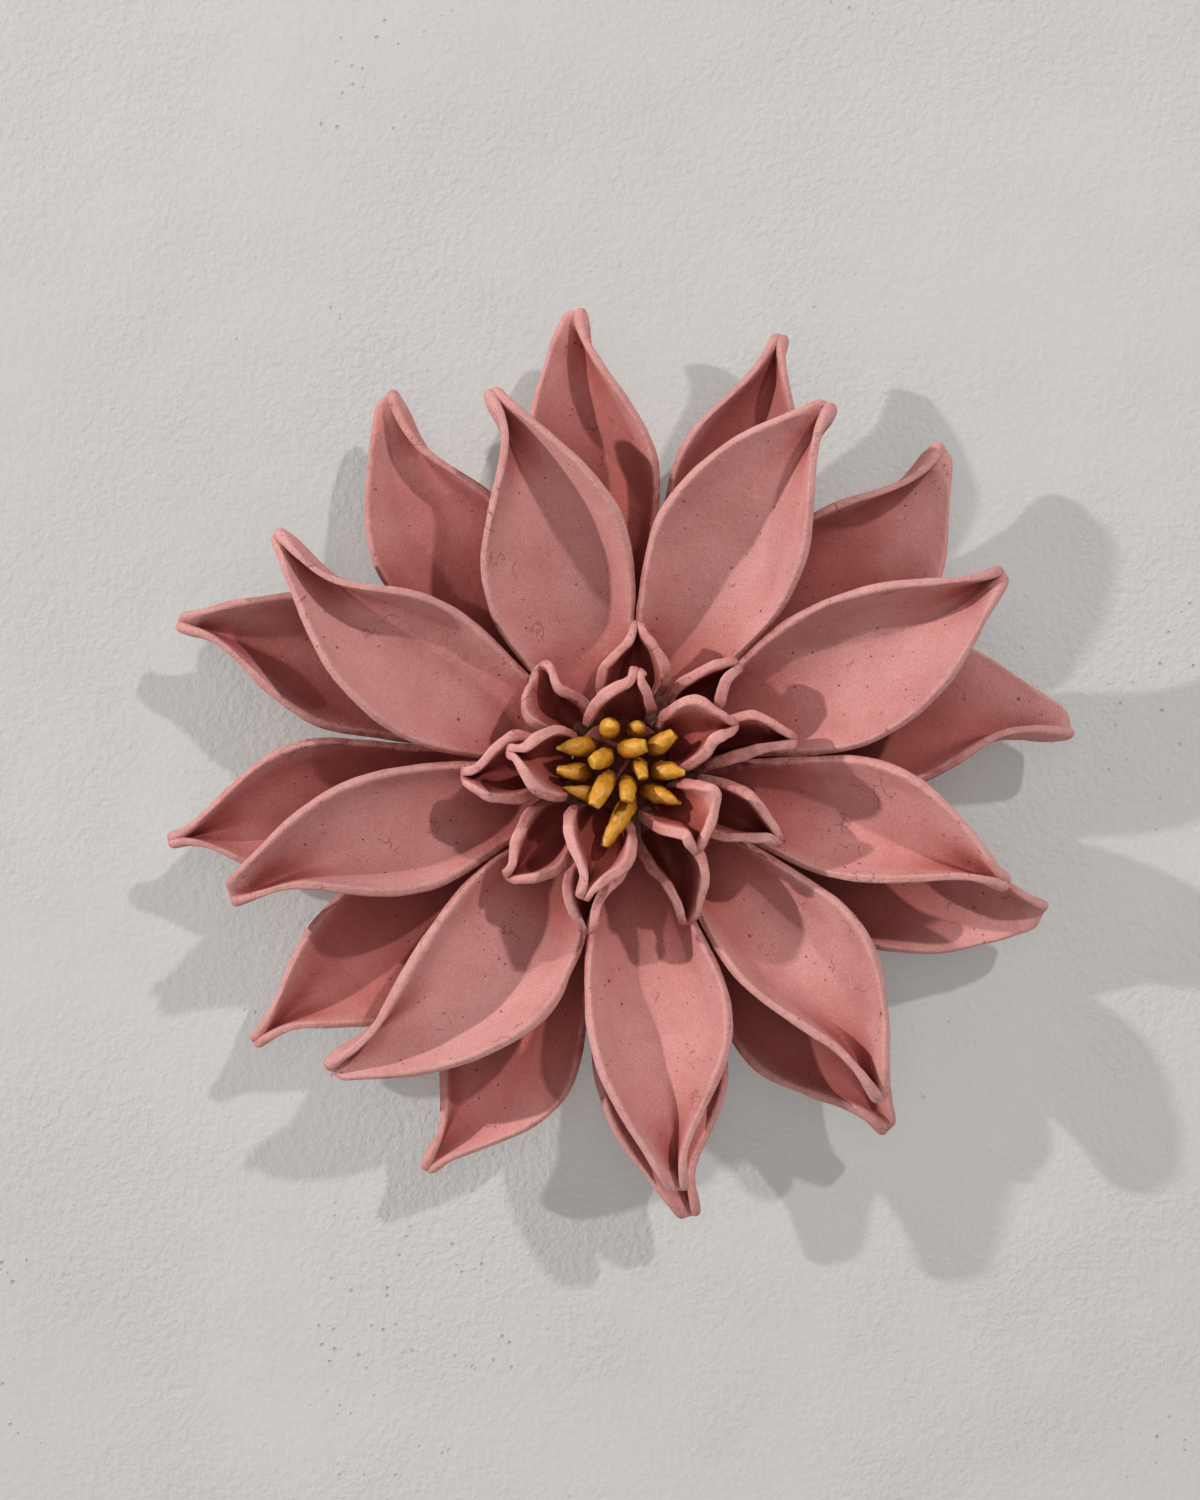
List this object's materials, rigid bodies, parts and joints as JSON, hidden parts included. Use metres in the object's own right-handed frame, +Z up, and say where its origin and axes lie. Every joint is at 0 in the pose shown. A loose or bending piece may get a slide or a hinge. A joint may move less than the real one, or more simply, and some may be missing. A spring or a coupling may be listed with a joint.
{
  "type": "ceramic wall flower",
  "caption": "Hand-built clay flower wall ornament: cupped pointed petals in rings round short clay stamens, hung by its flat hub.",
  "frame": {"origin": "centre of the hub's round back face, which rests on the wall", "axes": "+Y points into the wall, the petals face -Y, +Z is up the wall, and +X is to the viewer's right"},
  "size_m": [0.3481, 0.0659, 0.35],
  "materials": {
    "hub_clay": "matte unglazed",
    "back_petal_clay": "matte unglazed",
    "front_petal_clay": "matte unglazed",
    "collar_petal_clay": "matte unglazed",
    "heart_petal_clay": "matte unglazed",
    "stamen_clay": "matte unglazed"
  },
  "bodies": {
    "root": {"hub": "hub_clay", "back_petal_01": "back_petal_clay", "back_petal_02": "back_petal_clay", "back_petal_03": "back_petal_clay", "back_petal_04": "back_petal_clay", "back_petal_05": "back_petal_clay", "back_petal_06": "back_petal_clay", "back_petal_07": "back_petal_clay", "back_petal_08": "back_petal_clay", "back_petal_09": "back_petal_clay", "back_petal_10": "back_petal_clay", "back_petal_11": "back_petal_clay", "back_petal_12": "back_petal_clay", "front_petal_01": "front_petal_clay", "front_petal_02": "front_petal_clay", "front_petal_03": "front_petal_clay", "front_petal_04": "front_petal_clay", "front_petal_05": "front_petal_clay", "front_petal_06": "front_petal_clay", "front_petal_07": "front_petal_clay", "front_petal_08": "front_petal_clay", "front_petal_09": "front_petal_clay", "collar_petal_01": "collar_petal_clay", "collar_petal_02": "collar_petal_clay", "collar_petal_03": "collar_petal_clay", "collar_petal_04": "collar_petal_clay", "collar_petal_05": "collar_petal_clay", "collar_petal_06": "collar_petal_clay", "collar_petal_07": "collar_petal_clay", "collar_petal_08": "collar_petal_clay", "collar_petal_09": "collar_petal_clay", "heart_petal_01": "heart_petal_clay", "heart_petal_02": "heart_petal_clay", "heart_petal_03": "heart_petal_clay", "heart_petal_04": "heart_petal_clay", "heart_petal_05": "heart_petal_clay", "stamen_01": "stamen_clay", "stamen_02": "stamen_clay", "stamen_03": "stamen_clay", "stamen_04": "stamen_clay", "stamen_05": "stamen_clay", "stamen_06": "stamen_clay", "stamen_07": "stamen_clay", "stamen_08": "stamen_clay", "stamen_09": "stamen_clay", "stamen_10": "stamen_clay", "stamen_11": "stamen_clay", "stamen_12": "stamen_clay", "stamen_13": "stamen_clay", "stamen_14": "stamen_clay"}
  },
  "joints": []
}
